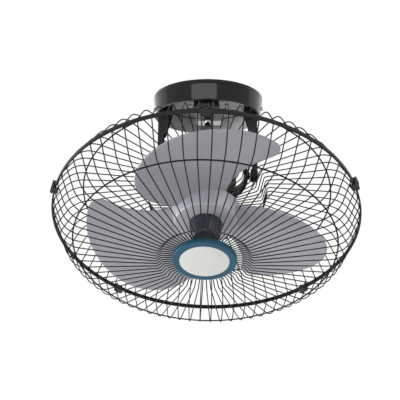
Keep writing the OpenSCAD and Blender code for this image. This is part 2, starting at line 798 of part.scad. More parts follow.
module clip_lugs() {
    color("#121213") head_place() for (k = [0 : 4]) at_clip(k) for (s = [-1, 1])
        difference() {
            translate([hoop_r + seat_gap - 1.2, s * (barrel_w / 2 + 0.2 + lug_w / 2) - lug_w / 2,
                clip_axis_z - 2])
                cube([clip_axis_r + 2 - hoop_r + 1.2 - seat_gap, lug_w, hoop_z - clip_axis_z + 2 - 0.3]);
            // the lug sits on the outer face of the rear hoop
            translate([0, 0, hoop_z - hoop_h - seat_gap]) cylinder(h = hoop_h + 1, r = hoop_r + seat_gap);
            translate([clip_axis_r, -20, clip_axis_z]) rotate([-90, 0, 0])
                cylinder(h = 40, r = clip_pin_r + fit);
        }
}

module clip_pins() {
    w = barrel_w + 0.4 + 2 * lug_w;
    color("#8a8c90") head_place() for (k = [0 : 4]) at_clip(k)
        translate([clip_axis_r, -w / 2, clip_axis_z]) rotate([-90, 0, 0]) cylinder(h = w, r = clip_pin_r);
}

// A clip: a barrel on its pin, a plate over both hoops and a hook over the front one
module guard_clip(k) {
    plate_in = hoop_r + 0.5;
    hook_z = hoop_z + hoop_h + 0.35;
    hook_in = hoop_r - hoop_t - 4;
    color("#0e0e0f") head_place() at_clip(k) difference() {
        union() {
            translate([clip_axis_r, -barrel_w / 2, clip_axis_z]) rotate([-90, 0, 0])
                cylinder(h = barrel_w, r = barrel_r);
            translate([plate_in, -barrel_w / 2, clip_axis_z])
                cube([clip_t, barrel_w, hook_z - clip_axis_z]);
            translate([plate_in, -clip_len / 2, hoop_z + 0.4])
                cube([clip_t, clip_len, hook_z + 2.2 - hoop_z - 0.4]);
            translate([hook_in, -hook_w / 2, hook_z]) cube([plate_in + clip_t - hook_in, hook_w, 2.2]);
            // the lip is set back and short, so that it swings clear of the hoop
            translate([hook_in, -hook_w / 2, hook_z - hook_lip]) cube([2, hook_w, hook_lip + 0.2]);
            translate([plate_in + clip_t - 0.5, -clip_len / 2 + 2, hook_z + 0.2])
                cube([2.2, clip_len - 4, 2]);
        }
        translate([clip_axis_r, -20, clip_axis_z]) rotate([-90, 0, 0])
            cylinder(h = 40, r = clip_pin_r + run);
    }
}
module guard_clip_1() { guard_clip(0); }
module guard_clip_2() { guard_clip(1); }
module guard_clip_3() { guard_clip(2); }
module guard_clip_4() { guard_clip(3); }
module guard_clip_5() { guard_clip(4); }

// ---------- rotor ----------

module rotor_core() {
    color("#7d8085") head_place() difference() {
        union() {
            translate([0, 0, -stator_h / 2]) cylinder(h = stator_h, r = rotor_r);
            translate([0, 0, -stator_h / 2 - 3]) tube(rotor_r - 2, rotor_r - 8, stator_h + 6);
        }
        translate([0, 0, -30]) cylinder(h = 60, r = shaft_r + fit);
    }
}

module motor_shaft() {
    color("#b9bbbf") head_place() difference() {
        translate([0, 0, -bearing_z - bearing_h - 0.4])
            cylinder(h = bearing_z + bearing_h + hub_front + 28, r = shaft_r);
        translate([-10, 0, hub_front - 8]) rotate([0, 90, 0]) cylinder(h = 20, r = 1.25 + fit);
    }
}

module drive_pin() {
    color("#8a8c90") head_place() translate([-9, 0, hub_front - 8]) rotate([0, 90, 0])
        cylinder(h = 18, r = 1.25);
}

// Outline of one blade, seen along the axis, with the blade pointing along +X
module blade_outline() {
    line = [cos(blade_turn), sin(blade_turn)];
    normal = [cos(edge_turn), sin(edge_turn)];
    along = [normal[1], -normal[0]];
    bulge_c = line * (sweep_r - bulge_r);
    tip_c = line * (sweep_r - tip_r);
    cut = [cos(blade_turn - 2), sin(blade_turn - 2)];
    // the rounded corner touches the leading edge and the tip arc
    off = edge_off + corner_r;
    reach = tip_r - corner_r;
    side = tip_c * normal - off;
    run_out = tip_c * along + sqrt(reach * reach - side * side);
    corner_c = normal * off + along * run_out;
    touch_line = corner_c - normal * corner_r;
    touch_arc = tip_c + unit(corner_c - tip_c) * tip_r;
    mid = unit(touch_line + touch_arc - 2 * corner_c);
    far = corner_c + mid * corner_r / (mid * unit(touch_line - corner_c));
    translate(bulge_c) circle(r = bulge_r);
    difference() {
        intersection() {
            translate(tip_c) circle(r = tip_r);
            polygon([normal * edge_off - along * 20, normal * edge_off + along * 300, cut * 300, cut * 20]);
        }
        polygon([corner_c, touch_line, far, touch_arc]);
    }
    translate(corner_c) circle(r = corner_r + 0.03);
}

module blade_sheet() {
    intersection() {
        linear_extrude(200) blade_outline();
        translate([blade_mid_r, 0, blade_mid_z]) rotate([0, -rake, 0]) rotate([pitch, 0, 0])
            translate([-140, 0, camber_r]) rotate([0, 90, 0]) rotate([0, 0, 180])
                tube(camber_r + blade_t / 2, camber_r - blade_t / 2, 260, $fn = 720);
    }
}

module blade() {
    color("#8f9198") head_place() difference() {
        union() {
            translate([0, 0, hub_back])
                cylinder(h = hub_front - hub_back - 2, r1 = hub_r, r2 = hub_front_r + 0.4);
            translate([0, 0, hub_front - 2.01])
                cylinder(h = 2.01, r1 = hub_front_r + 0.4, r2 = hub_front_r - 1.6);
            difference() {
                for (k = [0 : 2]) rotate([0, 0, 90 + 120 * k]) blade_sheet();
                translate([0, 0, 0]) cylinder(h = 300, r = hub_front_r - 1);
            }
        }
        // hollow of the hub, with a boss for the shaft
        difference() {
            translate([0, 0, hub_back - 5]) cylinder(h = hub_front - hub_back + 5 - hub_wall,
                r1 = hub_r - hub_wall + 0.8, r2 = hub_front_r - hub_wall);
            translate([0, 0, hub_front - 16]) cylinder(h = 20, r = hub_boss_r);
        }
        cylinder(h = 200, r = shaft_r + fit);
        translate([-10, -1.25 - fit, hub_front - 17]) cube([20, 2.5 + 2 * fit, 9 + 1.25 + fit]);
    }
}

module blade_nut() {
    z = hub_front + seat_gap;
    color("#2c333d") head_place() difference() {
        union() {
            translate([0, 0, z]) cylinder(h = 24, r1 = nut_r, r2 = nut_r - 3);
            translate([0, 0, z + 23.9]) rotate_extrude() intersection() {
                translate([nut_r - 11, 0]) circle(r = 8);
                square([nut_r, 8]);
            }
            translate([0, 0, z + 23.9]) cylinder(h = 8, r = nut_r - 11);
        }
        translate([0, 0, z - 1]) cylinder(h = 30, r = shaft_r + fit);
        for (a = [0 : 20 : 359]) rotate([0, 0, a]) translate([nut_r + 1, 0, z + 4]) rotate([0, -7.1, 0])
            cylinder(h = 40, r = 1.8);
        translate([0, 0, z - 0.01]) tube(nut_r - 3, 9, 14);
    }
}

ceiling_plate();
canopy();
canopy_screws();
crossbar();
crossbar_screws();
yoke_arm_left();
yoke_arm_right();
yoke_screws();
yoke_pins();
pin_clips();
ball_seat();
seat_nut();
terminal_box();
terminal_lid();
terminal_screw();
capacitor();
cable_grommet();
gimbal_ring();
gimbal_bushes();
cross_pins();
output_shaft();
crank_arm();
crank_screw();
ball_stud();
stud_sleeve();
motor_rear_shell();
motor_front_shell();
motor_bolts();
stator_core();
stator_windings();
rear_bearing();
front_bearing();
drive_gearbox();
gearbox_screws();
rear_hoop();
rear_guard_wires();
rear_guard_rings();
guard_plate();
guard_lock_nut();
front_hoop();
front_guard_wires();
front_guard_rings();
badge_back();
badge_screw();
badge_ring();
badge_plate();
clip_lugs();
clip_pins();
rotor_core();
motor_shaft();
blade();
blade_nut();
drive_pin();
guard_clip_1();
guard_clip_2();
guard_clip_3();
guard_clip_4();
guard_clip_5();
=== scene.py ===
# %% [markdown]
# # An orbital ceiling fan
# A caged, tilted fan head hangs below a round canopy. Its gimbal lets it swing round in a circle, and a
# small crank above the motor drives that swing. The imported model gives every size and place. This lesson
# gives each piece its finish, and models again the pieces whose edges and bends the eye rests on.

# %% Load the frame
import json
from math import acos, atan2, cos, hypot, pi, radians, sin, sqrt, tan

import bpy
from mathutils import Matrix, Vector


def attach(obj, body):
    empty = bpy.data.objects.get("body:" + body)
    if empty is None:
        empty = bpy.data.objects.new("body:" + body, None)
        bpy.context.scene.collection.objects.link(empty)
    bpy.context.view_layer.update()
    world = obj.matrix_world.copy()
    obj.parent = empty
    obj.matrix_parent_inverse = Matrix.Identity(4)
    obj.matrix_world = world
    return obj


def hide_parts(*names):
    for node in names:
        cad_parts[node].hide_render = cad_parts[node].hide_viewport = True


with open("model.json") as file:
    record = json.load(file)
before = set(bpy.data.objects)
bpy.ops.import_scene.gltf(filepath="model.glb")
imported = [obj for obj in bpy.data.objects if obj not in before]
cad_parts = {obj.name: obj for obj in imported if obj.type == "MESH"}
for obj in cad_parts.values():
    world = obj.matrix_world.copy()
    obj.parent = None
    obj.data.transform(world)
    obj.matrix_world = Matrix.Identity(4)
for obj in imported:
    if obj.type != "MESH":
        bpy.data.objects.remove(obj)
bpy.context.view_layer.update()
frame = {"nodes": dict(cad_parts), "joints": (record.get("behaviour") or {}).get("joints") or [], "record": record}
MM = 0.001

# %% [markdown]
# ## The camera
# The photograph looks up at the fan from the front and a little to the right. The place and the lens
# come from a fit to the hoop, the rings, the badge and the canopy, so they are set first: every later
# choice is judged through this camera.

# %% Camera
camera_at = Vector((0.0447, -1.1096, -0.4253))
camera_turn, camera_pitch, camera_roll = radians(2.904), radians(12.858), radians(0.624)
camera_data = bpy.data.cameras.new("camera")
camera_data.lens = 63.27
camera_data.sensor_width = 36
camera = bpy.data.objects.new("camera", camera_data)
aim = Matrix.Rotation(camera_turn, 4, "Z") @ Matrix.Rotation(pi / 2 + camera_pitch, 4, "X")
camera.matrix_world = Matrix.Translation(camera_at) @ aim @ Matrix.Rotation(camera_roll, 4, "Z")
bpy.context.scene.collection.objects.link(camera)
bpy.context.scene.camera = camera
print("camera at", tuple(camera_at))

# %% [markdown]
# ## The frame of the head
# Everything on the fan head is round about one leaning axis. Working in the head's own frame keeps the
# numbers simple: Z runs forward to the badge, X to the right and Y to the raised side. The joint of the
# blades holds that axis, so the frame is read from it and not written twice.

# %% Head frame
joints = {joint["name"]: joint for joint in frame["joints"]}
spin = joints["blade_spin"]
head_z = -Vector(spin["axis"]).normalized()
head_x = Vector((1, 0, 0))
head_y = head_z.cross(head_x)
HEAD = Matrix.Translation(Vector(spin["pos_m"])) @ Matrix((head_x, head_y, head_z)).transposed().to_4x4()
UPRIGHT = Matrix.Identity(4)


def size_in(node, place):
    """Lowest and highest corner of a CAD node, measured along the axes of a frame."""
    inverse = place.inverted()
    points = [inverse @ v.co for v in frame["nodes"][node].data.vertices]
    lowest, highest = ([pick(p[i] for p in points) for i in range(3)] for pick in (min, max))
    return Vector(lowest), Vector(highest)


hoop_low, hoop_high = size_in("front_hoop", HEAD)
hoop_r, hoop_z = hoop_high.x, hoop_low.z
print("hoop radius", round(hoop_r / MM, 2), "mm, ahead of the gimbal", round(hoop_z / MM, 2), "mm")

# %% [markdown]
# ## Shader maths
# A finish is a small formula on the surface: noise here, a mask there. It could be wired up node by node, but
# then nobody can read it. Wrapping a node's output in a class with Python's own operators lets the formula
# be written as a formula, and every operator adds its Math node.

# %% Values with operators
class Value:
    """An output of a node, for arithmetic in plain Python."""

    def __init__(self, finish, socket):
        self.finish, self.socket = finish, socket

    def maths(self, operation, *others):
        return self.finish.add("ShaderNodeMath", {"operation": operation}, [self, *others])

    def __add__(self, other):
        return self.maths("ADD", other)

    def __mul__(self, other):
        return self.maths("MULTIPLY", other)

    def __gt__(self, other):
        return self.maths("GREATER_THAN", other)

    def __lt__(self, other):
        return self.maths("LESS_THAN", other)

    __radd__ = __add__
    __rmul__ = __mul__

    def between(self, low, high):
        """0 below low, 1 above high, and a smooth step in between."""
        settings = {"interpolation_type": "SMOOTHSTEP"}
        inputs = {"Value": self, "From Min": low, "From Max": high}
        return self.finish.add("ShaderNodeMapRange", settings, inputs)


print("values ready")

# %% [markdown]
# ## A finish
# Every material here is one Principled shader with a few nodes that feed it. Constants stay on the shader's
# own sockets, and only what varies over the surface is linked. The class below makes the material, adds any
# node by its type, and has short names for the noise, the mix and the bump that nearly all finishes use.

# %% Finish
class Finish:
    """A material: one Principled shader and the nodes that feed it."""

    def __init__(self, name, **constants):
        self.material = bpy.data.materials.new(name)
        self.material.use_nodes = True
        self.tree = self.material.node_tree
        self.shader = self.tree.nodes["Principled BSDF"]
        for socket, value in constants.items():
            self.shader.inputs[socket.replace("_", " ")].default_value = value

    def set(self, socket, value):
        """A link into the socket for a value from a node, and its own number for the rest."""
        if isinstance(value, Value):
            self.tree.links.new(value.socket, socket)
        else:
            socket.default_value = value

    def add(self, kind, settings=None, inputs=(), out=0):
        """Any node, with its settings and inputs. What comes back is one of its outputs."""
        node = self.tree.nodes.new(kind)
        for key, value in (settings or {}).items():
            setattr(node, key, value)
        pairs = inputs.items() if isinstance(inputs, dict) else enumerate(inputs)
        for key, value in pairs:
            self.set(node.inputs[key], value)
        return Value(self, node.outputs[out])

    def feed(self, socket, value):
        """A value for a socket of the Principled shader."""
        self.set(self.shader.inputs[socket], value)
        return self

    def place(self):
        """Object coordinates, in metres."""
        return self.add("ShaderNodeTexCoord", out="Object")

    def colour(self):
        """The colour that the finish has so far."""
        return Value(self, self.shader.inputs["Base Color"].links[0].from_socket)

    def noise(self, scale, detail):
        inputs = {"Vector": self.place(), "Scale": scale, "Detail": detail}
        return self.add("ShaderNodeTexNoise", {}, inputs)

    def mix(self, mask, first, second):
        inputs = {0: mask, 6: first, 7: second}
        return self.add("ShaderNodeMix", {"data_type": "RGBA"}, inputs, out=2)

    def bump(self, height, strength, depth):
        inputs = {"Height": height, "Strength": strength, "Distance": depth}
        return self.feed("Normal", self.add("ShaderNodeBump", {}, inputs))


def rgb(red, green, blue):
    """A colour given as it looks on the screen, 0 to 255, as the linear values a shader wants."""
    def linear(v):
        v /= 255
        return v / 12.92 if v <= 0.04045 else ((v + 0.055) / 1.055) ** 2.4
    return linear(red), linear(green), linear(blue), 1


print("black 12 of 255 is", round(rgb(12, 12, 12)[0], 5), "in linear light")

# %% [markdown]
# ## Paints and coated wire
# The canopy is sprayed and baked: deep black, glossy, with the faint waviness called orange peel. The
# frames, arms and wires are powder coated, which is duller and has a fine tooth. Both come from noise on
# Object coordinates, so the pattern doesn't slide when the fan is posed.

# %% Paints
def glossy_paint(name):
    finish = Finish(name, Specular_IOR_Level=0.26)
    cloud = finish.noise(9, 3)
    finish.feed("Base Color", finish.mix(cloud, rgb(12, 12, 13), rgb(17, 17, 18)))
    finish.feed("Roughness", 0.06 + 0.06 * finish.noise(40, 3))
    return finish.bump(finish.noise(420, 2), 0.05, 0.0004)


def powder_coat(name, dark, pale, rough, gloss=0.35):
    finish = Finish(name, Specular_IOR_Level=gloss)
    cloud = finish.noise(30, 3)
    tooth = finish.noise(2600, 2)
    finish.feed("Base Color", finish.mix(cloud.between(0.3, 0.7), dark, pale))
    finish.feed("Roughness", rough + 0.14 * tooth)
    return finish.bump(tooth, 0.12, 0.0002)


frame_black = powder_coat("satin_black_coat", rgb(20, 20, 21), rgb(29, 29, 30), 0.36, 0.15)
wire_black = powder_coat("black_wire_coat", rgb(24, 24, 26), rgb(34, 34, 36), 0.5, 0.1)
cast_black = powder_coat("black_cast_coat", rgb(22, 22, 23), rgb(36, 36, 38), 0.48)
print("paints:", frame_black.material.name, wire_black.material.name, cast_black.material.name)

# %% [markdown]
# ## Mouldings
# The blades are one grey moulding with a cool cast. A moulding is even in colour, with a fine spark-eroded
# texture and a faint flow of tone from the hub out. The nut and the badge are smoother and glossier. Round the
# hub the grey is painted paler, as painted light for the light that falls on the sides of the hub.

# %% Mouldings
def moulding(name, dark, pale, rough, grain, strength, **constants):
    finish = Finish(name, **constants)
    flow = finish.noise(14, 2)
    texture = finish.noise(grain, 3)
    finish.feed("Base Color", finish.mix(flow.between(0.25, 0.75), dark, pale))
    finish.feed("Roughness", rough + 0.12 * texture)
    return finish.bump(texture, strength, 0.0002)


blade_grey = moulding("grey_blade_moulding", rgb(144, 145, 152), rgb(153, 154, 161), 0.36, 1500, 0.08)
nut_blue = moulding("dark_nut_moulding", rgb(42, 45, 54), rgb(49, 52, 61), 0.24, 1800, 0.05,
                    Specular_IOR_Level=0.3)
badge_blue = moulding("blue_badge_moulding", rgb(30, 70, 90), rgb(36, 78, 99), 0.3, 1500, 0.04,
                      Specular_IOR_Level=0.15)
badge_white = moulding("white_badge_plate", rgb(189, 190, 187), rgb(196, 197, 194), 0.3, 1200, 0.03)
black_plastic = moulding("black_moulding", rgb(20, 20, 21), rgb(30, 30, 31), 0.38, 1500, 0.1,
                         Specular_IOR_Level=0.25)
nylon = moulding("natural_nylon", rgb(214, 208, 190), rgb(226, 221, 204), 0.4, 900, 0.06)
case_grey = moulding("pale_case", rgb(186, 188, 190), rgb(196, 198, 200), 0.3, 900, 0.06)
primer_grey = moulding("grey_primer", rgb(158, 159, 160), rgb(168, 169, 170), 0.6, 600, 0.05)
rubber = moulding("black_rubber", rgb(24, 24, 24), rgb(36, 36, 36), 0.72, 1300, 0.2)


def painted_light_on_hub(finish, radius, fade):
    """Painted light: round the hub the grey is painted paler than on the blades outside its radius, for the light
    on its sides.
    """
    off = finish.add("ShaderNodeVectorMath", {"operation": "SUBTRACT"}, [finish.place(), spin["pos_m"]])
    across = finish.add("ShaderNodeVectorMath", {"operation": "CROSS_PRODUCT"}, [off, head_z])
    away = finish.add("ShaderNodeVectorMath", {"operation": "LENGTH"}, [across], out="Value")
    outside = away.between(radius, radius + fade)
    finish.feed("Base Color", finish.mix(outside, rgb(164, 165, 172), finish.colour()))


# Painted light: the hub, out to 53 mm, gets a paler grey than the blades.
painted_light_on_hub(blade_grey, 53 * MM, 4 * MM)
print("mouldings ready")

# %% [markdown]
# ## Bare metals
# Zinc plate on the screws is a soft bright grey with a cloudy bloom. Turned steel shows fine rings, the
# stator is a stack of thin sheets, and its coils are enamelled copper laid in turns. The rings, sheets and
# turns are wave textures in the head's own directions.

# %% Metals
def metal(name, dark, pale, rough, scale=60):
    finish = Finish(name, Metallic=1.0)
    cloud = finish.noise(scale, 4)
    finish.feed("Base Color", finish.mix(cloud.between(0.3, 0.7), dark, pale))
    finish.feed("Roughness", rough + 0.16 * finish.noise(4 * scale, 3))
    return finish.bump(finish.noise(18 * scale, 2), 0.06, 0.0002)


def layered(name, dark, pale, rough, wave, metallic):
    """Thin layers or turns along the axis of the head. One layer is 2 pi times wave, in metres."""
    finish = Finish(name, Metallic=metallic)
    lean = (pi - head_z.angle(Vector((0, 0, -1))), 0, 0)
    leaning = finish.add("ShaderNodeMapping", {}, {"Vector": finish.place(), "Rotation": lean})
    inputs = {"Vector": leaning, "Scale": 1 / (20 * wave), "Distortion": 0.2}
    lines = finish.add("ShaderNodeTexWave", {"bands_direction": "Z"}, inputs, out=1)
    cloud = finish.noise(50, 3)
    finish.feed("Base Color", finish.mix(0.6 * lines + 0.4 * cloud, dark, pale))
    finish.feed("Roughness", rough + 0.15 * cloud)
    return finish.bump(lines, 0.35, 0.0003)


zinc = metal("zinc_plate", rgb(148, 150, 153), rgb(186, 188, 190), 0.26)
steel = metal("turned_steel", rgb(150, 151, 154), rgb(196, 197, 200), 0.2, 90)
pressed_steel = metal("pressed_steel", rgb(116, 118, 122), rgb(150, 152, 156), 0.34)
laminations = layered("steel_laminations", rgb(92, 94, 98), rgb(140, 142, 146), 0.38, 0.0008, 1.0)
copper = layered("enamelled_copper", rgb(120, 56, 24), rgb(190, 104, 52), 0.24, 0.0009, 0.85)
print("metals ready")

# %% [markdown]
# ## Selecting, copying and joining
# Blender's operators act on whatever is selected, so each step first selects its own piece and nothing else.
# What repeats is modelled once: every copy gets its own mesh, moved in the mesh, so that each object stays at
# the origin.

# %% Selection and joining
def deselect():
    for thing in bpy.context.selected_objects:
        thing.select_set(False)


def make_active(thing):
    deselect()
    thing.select_set(True)
    bpy.context.view_layer.objects.active = thing


def new_piece(name, points, edges=(), faces=()):
    mesh = bpy.data.meshes.new(name)
    mesh.from_pydata([tuple(p) for p in points], edges, faces)
    piece = bpy.data.objects.new(name, mesh)
    bpy.context.scene.collection.objects.link(piece)
    make_active(piece)
    return piece


def joined(name, parts):
    """Several parts as one piece."""
    deselect()
    for part in parts:
        part.select_set(True)
    bpy.context.view_layer.objects.active = parts[0]
    bpy.ops.object.join()
    parts[0].name = name
    return parts[0]


def copies(part, places):
    """A copy of the part at each place, with its own mesh. The part itself goes."""
    made = []
    for place in places:
        copy = part.copy()
        copy.data = part.data.copy()
        copy.data.transform(place)
        bpy.context.scene.collection.objects.link(copy)
        made.append(copy)
    bpy.data.objects.remove(part)
    return made


def apply(piece, kind, **settings):
    """A modifier, given its settings and applied."""
    make_active(piece)
    modifier = piece.modifiers.new(kind.lower(), kind)
    for key, value in settings.items():
        setattr(modifier, key, value)
    bpy.ops.object.modifier_apply(modifier=modifier.name)
    return piece


def smooth(piece, angle):
    make_active(piece)
    bpy.ops.object.shade_smooth_by_angle(angle=radians(angle))
    return piece


def around(count, start):
    """Turns about the axis, equally spaced, from a first angle in degrees."""
    return [Matrix.Rotation(radians(start + 360 * k / count), 4, "Z") for k in range(count)]


print("selection tools ready")

# %% [markdown]
# ## Bends, spins and wires
# Most of the fan is turned: canopy, hoops, hub and badge are all a profile spun round an axis. A profile is
# a short list of corners, and each corner gets a small arc, because no real edge is knife sharp and it is
# the rounded edge that catches the light. Spin then does what a lathe does. A wire is a curve with a round
# section, turned into a mesh.

# %% Bends, spins and wires
def bend_corners(points, bends, steps):
    """A line of points with each corner replaced by an arc of its own radius, or left where that is 0."""
    out = []
    for i, bend in enumerate(bends):
        here = Vector(points[i])
        if bend == 0:
            out.append(here)
            continue
        back = (Vector(points[i - 1]) - here).normalized()
        ahead = (Vector(points[(i + 1) % len(points)]) - here).normalized()
        half = back.angle(ahead) / 2
        centre = here + (back + ahead).normalized() * bend / sin(half)
        first = here + back * bend / tan(half) - centre
        last = here + ahead * bend / tan(half) - centre
        sweep = first.angle(last)
        for k in range(steps + 1):
            t = k / steps
            out.append(centre + (first * sin((1 - t) * sweep) + last * sin(t * sweep)) / sin(sweep))
    return out


def turned(name, corners, bends, place=UPRIGHT, steps=160, arc_steps=4):
    """A closed profile of (radius, height) corners, in mm, spun round Z. Bends are in mm too."""
    points = bend_corners([(r * MM, 0, z * MM) for r, z in corners], [b * MM for b in bends], arc_steps)
    count = len(points)
    piece = new_piece(name, points, [(i, (i + 1) % count) for i in range(count)])
    bpy.ops.object.mode_set(mode="EDIT")
    bpy.ops.mesh.select_all(action="SELECT")
    bpy.ops.mesh.spin(steps=steps, angle=2 * pi, center=(0, 0, 0), axis=(0, 0, 1))
    bpy.ops.mesh.select_all(action="SELECT")
    bpy.ops.mesh.remove_doubles(threshold=1e-6)
    bpy.ops.mesh.normals_make_consistent(inside=False)
    bpy.ops.object.mode_set(mode="OBJECT")
    piece.data.transform(place)
    return smooth(piece, 40)


def wire(name, points, radius, sides=2, loop=False):
    """A round wire along points, as a mesh. More sides give a rounder section."""
    curve = bpy.data.curves.new(name, "CURVE")
    curve.dimensions = "3D"
    spline = curve.splines.new("POLY")
    spline.points.add(len(points) - 1)
    for spot, point in zip(spline.points, points):
        spot.co = (*point, 1)
    spline.use_cyclic_u = loop
    curve.bevel_depth = radius
    curve.bevel_resolution = sides
    curve.use_fill_caps = not loop
    piece = bpy.data.objects.new(name, curve)
    bpy.context.scene.collection.objects.link(piece)
    make_active(piece)
    bpy.ops.object.convert(target="MESH")
    return smooth(bpy.context.view_layer.objects.active, 60)


print("bends, spins and wires ready")

# %% [markdown]
# ## Handing a piece over
# A finished piece needs its material, the body that it moves with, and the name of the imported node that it
# stands for. One helper does all of it, so that no piece can be left behind when the fan is posed.

# %% Hand-over
def finish_piece(piece, finish, body, node):
    """The finish, the body it rides on, and the CAD node it stands for."""
    piece.data.materials.clear()
    piece.data.materials.append(finish.material)
    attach(piece, body)
    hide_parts(node)
    print(piece.name, len(piece.data.polygons), "faces, in place of", node)


print("hand-over ready")

# %% [markdown]
# ## Pressed and machined pieces
# Arms, crossbar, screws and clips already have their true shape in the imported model, but with sharp edges.
# A copy of the mesh is merged, its flat faces are made whole, and a narrow bevel rounds the edges that are
# sharper than a limit. Weighted normals keep the flats flat beside it. That is quicker than modelling each
# piece again, and no hole can end up misplaced.

# %% Rounded copies of CAD pieces
def softened(node, width, limit=40):
    """A copy of a CAD node with a narrow bevel, width in mm, on edges sharper than limit, in degrees."""
    source = frame["nodes"][node]
    piece = source.copy()
    piece.data = source.data.copy()
    piece.parent = None
    piece.matrix_world = Matrix.Identity(4)
    piece.name = node + "_soft"
    bpy.context.scene.collection.objects.link(piece)
    make_active(piece)
    bpy.ops.object.mode_set(mode="EDIT")
    bpy.ops.mesh.select_all(action="SELECT")
    bpy.ops.mesh.remove_doubles(threshold=2e-6)
    bpy.ops.mesh.dissolve_limited(angle_limit=radians(0.6))
    bpy.ops.object.mode_set(mode="OBJECT")
    apply(piece, "BEVEL", width=width * MM, segments=2, limit_method="ANGLE", angle_limit=radians(limit))
    return apply(smooth(piece, 35), "WEIGHTED_NORMAL", keep_sharp=True)


print("rounding ready")

# %% [markdown]
# ## The canopy
# The canopy is a pressed cover, a shade wider at the top, that hangs just below the rim of the plate with a
# thin dark seam. Its lower edge is rolled inwards. Outside it is glossy black. Inside it only has a grey
# primer, which the photograph shows between the arms. Being round, it is turned from one profile.

# %% Canopy
plate_low, plate_high = size_in("ceiling_plate", UPRIGHT)
plate_r, plate_h = plate_high.x / MM, -plate_low.z / MM
canopy_drop = -size_in("canopy", UPRIGHT)[0].z / MM
canopy_r, canopy_wall, roll = 86.2, 1.3, 2.2
seam, tuck, rim_t = 0.4, 2.5, 1.65
rim_r = plate_r - rim_t
canopy_profile = [
    (canopy_r, -canopy_drop), (plate_r, -plate_h - seam), (rim_r, -plate_h - seam), (rim_r, -plate_h + tuck),
    (rim_r - canopy_wall, -plate_h + tuck), (rim_r - canopy_wall, -plate_h - 1.2),
    (plate_r - 2.7, -plate_h - 2.2), (canopy_r - canopy_wall, -canopy_drop + 3.2),
    (canopy_r - roll - 0.4, -canopy_drop + 1.6), (canopy_r - roll - 0.4, -canopy_drop)]
canopy_bends = [1.1, 0.15, 0, 0.2, 0.2, 0.4, 0.8, 0.8, 0.5, 0.5]


def primed_inside(finish):
    """The outside keeps its paint. Faces that look inwards show grey primer."""
    normal = finish.add("ShaderNodeNewGeometry", out="Normal")
    flat = finish.add("ShaderNodeVectorMath", {"operation": "MULTIPLY"}, [finish.place(), (1, 1, 0)])
    outward = finish.add("ShaderNodeVectorMath", {"operation": "DOT_PRODUCT"}, [normal, flat], out="Value")
    inside = outward < -0.02
    primer = finish.mix(finish.noise(26, 4), rgb(174, 175, 176), rgb(184, 185, 186))
    return finish.feed("Base Color", finish.mix(inside, finish.colour(), primer))


canopy_paint = primed_inside(glossy_paint("canopy_paint"))
finish_piece(turned("canopy_shell", canopy_profile, canopy_bends), canopy_paint, "base", "canopy")

# %% [markdown]
# ## The ceiling plate
# Of the plate only the rim shows, and its underside between the arms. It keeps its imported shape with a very
# narrow bevel, because a sheet's pressed rim is crisp, and the underside gets the same primer as the canopy.

# %% Ceiling plate
def primer_below(finish):
    """Primer on the faces that look down, within the rim. The foot of the rim keeps its paint."""
    normal = finish.add("ShaderNodeNewGeometry", out="Normal")
    upward = finish.add("ShaderNodeSeparateXYZ", {}, [normal], out="Z")
    height = finish.add("ShaderNodeSeparateXYZ", {}, [finish.place()], out="Z")
    inside = (upward < -0.8) * (height > (1 - plate_h) * MM)
    primer = finish.mix(finish.noise(26, 4), rgb(180, 181, 182), rgb(190, 191, 192))
    return finish.feed("Base Color", finish.mix(inside, finish.colour(), primer))


plate_paint = primer_below(glossy_paint("plate_paint"))
finish_piece(softened("ceiling_plate", 0.07), plate_paint, "base", "ceiling_plate")

# %% [markdown]
# ## The hoops
# Each guard ends in a flat steel band. The two bands meet face to face, so together they read as one black
# hoop with a fine line round its middle. They are the strongest line of the photograph.

# %% Hoops
hoop_t, hoop_h = 2.6, (hoop_high.z - hoop_low.z) / MM
hoop_bends = [0.35, 0.9, 0.6, 0.2]
for name, side, node in (("front_band", 1, "front_hoop"), ("rear_band", -1, "rear_hoop")):
    near = hoop_z / MM + (0 if side > 0 else -0.04)
    far = hoop_z / MM + side * (hoop_h + 0.02)
    outer, inner = hoop_r / MM, hoop_r / MM - hoop_t
    band = [(outer, near), (outer, far), (inner, far), (inner, near)]
    finish_piece(turned(name, band, hoop_bends, HEAD, steps=240), frame_black, "head", node)

# %% [markdown]
# ## The wires of the guards
# A guard wire is one length of coated steel: straight down from the hoop, a wide shoulder, then in to the
# middle, with a double bend where the guard steps. One wire is drawn with true bends, turned into a mesh,
# and copied round the axis. Arc-shaped bends matter, because 72 of them side by side draw the rings of
# light that make a guard look like wire.

# %% Guard wires
wire_r, wires, wire_phase = 0.86, 72, 0.8
wire_end_r = hoop_r / MM - hoop_t - wire_r - 0.02
z0 = hoop_z / MM
rear_shoulder, front_shoulder, shoulder_bend = (212.8, -47), (207.7, 52.9), 38
well_r, well_z, well_in, floor_z = 97, -68.5, 88.5, -35
dish_r, dish_z, dish_in, dish_floor = 71.5, 68.0, 64.5, 61.53
rear_wire_in, front_wire_in = 34, 30


def guard(name, corners, bends, node):
    """Wires of one guard. Corners are (radius, height ahead of the hoops) in mm."""
    path = bend_corners([(r * MM, 0, (z0 + z) * MM) for r, z in corners], [b * MM for b in bends], 7)
    one = wire(name, path, wire_r * MM)
    piece = joined(name, copies(one, around(wires, wire_phase)))
    piece.data.transform(HEAD)
    finish_piece(smooth(piece, 60), wire_black, "head", node)


guard("rear_wires",
      [(wire_end_r, -0.2), (wire_end_r, -6), rear_shoulder, (well_r, well_z), (well_in, floor_z),
       (rear_wire_in, floor_z)],
      [0, 6, shoulder_bend, 5, 5, 0], "rear_guard_wires")
guard("front_wires",
      [(wire_end_r, 0.2), (wire_end_r, 2.5), front_shoulder, (dish_r, dish_z), (dish_in, dish_floor),
       (front_wire_in, dish_floor)],
      [0, 4, shoulder_bend, 3.5, 3.5, 0], "front_guard_wires")

